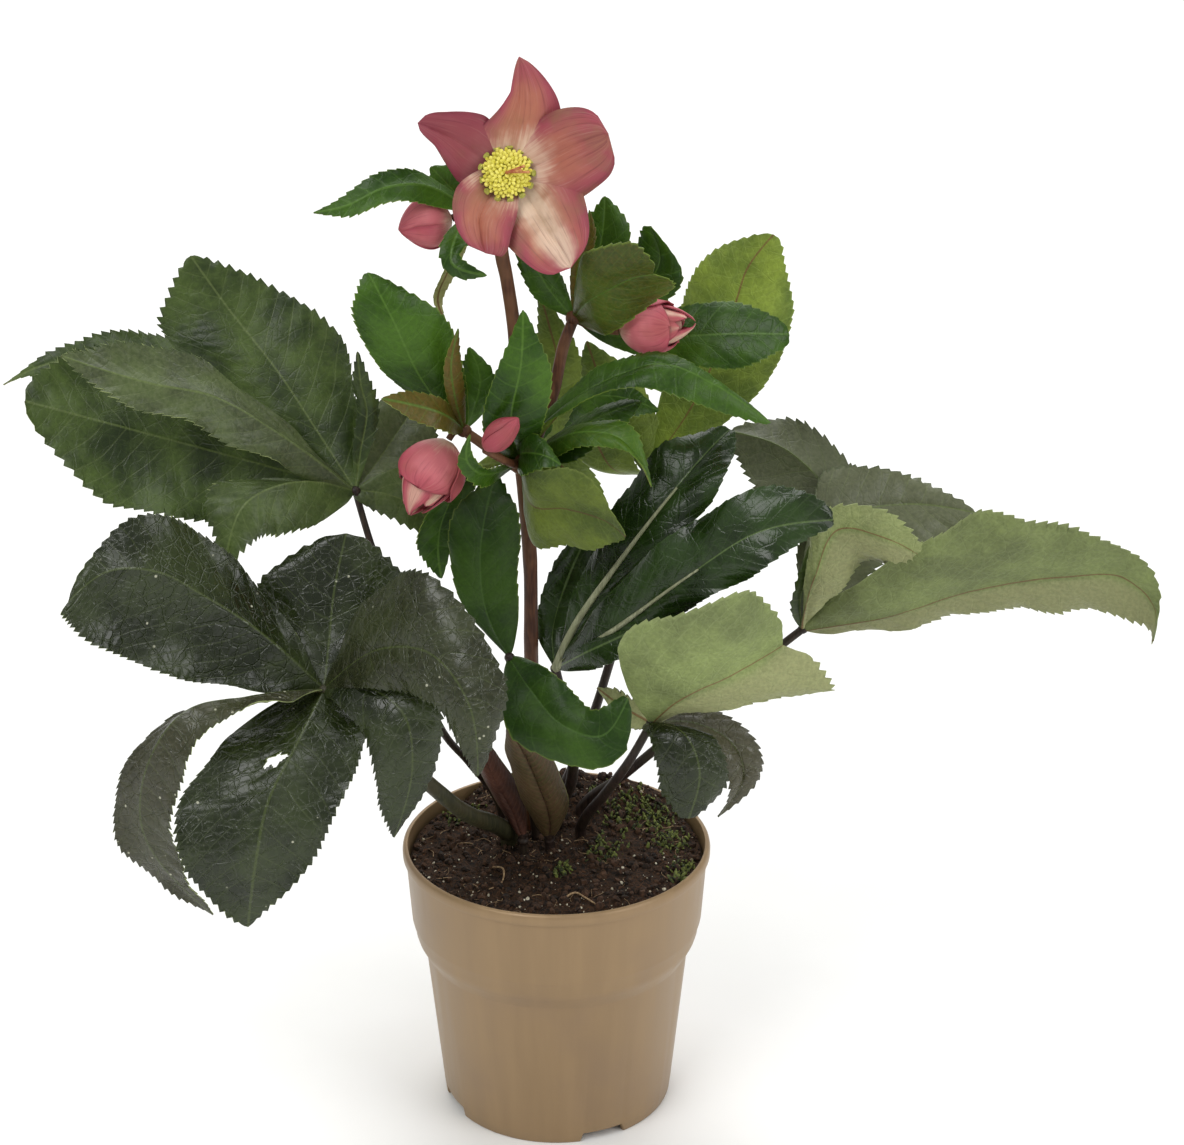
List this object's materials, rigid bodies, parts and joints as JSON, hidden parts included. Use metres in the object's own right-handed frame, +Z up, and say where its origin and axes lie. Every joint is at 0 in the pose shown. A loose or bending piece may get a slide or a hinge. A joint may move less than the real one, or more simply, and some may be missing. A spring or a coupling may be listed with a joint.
{
  "type": "hellebore plant",
  "caption": "potted hellebore in flower, with palmate toothed leaves, a leafy flowering stem, an open bloom and closed buds in a filled nursery pot",
  "frame": {"origin": "centre of the pot's flat base pad, on the surface it stands on", "axes": "+Z is up, -Y is the side the bloom faces, +X is to that side's right"},
  "size_m": [0.472, 0.1978, 0.4601],
  "materials": {
    "pot_plastic": "satin bronze plastic",
    "peat": "moist dark peat with pale flecks",
    "old_leaf": "leathery dark green, half gloss",
    "leaf_underside": "matt pale green underside",
    "young_leaf": "fresh green, satin",
    "sheath": "thin reddish brown scale",
    "stem": "smooth reddish brown skin",
    "sepal": "soft matt rose with pale centre",
    "anther": "powdery yellow green",
    "style": "waxy orange red"
  },
  "bodies": {
    "root": {"pot": "pot_plastic", "soil": "peat", "leaf_upper_left": "old_leaf", "leaf_lower_left": "old_leaf", "leaf_far_right": "leaf_underside", "leaf_lower_right": "leaf_underside", "leaf_front": "young_leaf", "leaf_right": "old_leaf", "leaf_back": "young_leaf", "sheath_front": "sheath", "sheath_left": "sheath", "flowering_stem": "stem", "bracts_middle": "young_leaf", "bracts_left": "young_leaf", "bracts_right": "young_leaf", "bracts_top": "young_leaf", "bloom_sepals": "sepal", "bloom_stamens": "anther", "bloom_styles": "style", "bud_top_left": "sepal", "bud_lower_left": "sepal", "bud_front": "sepal", "bud_right": "sepal"}
  },
  "joints": []
}
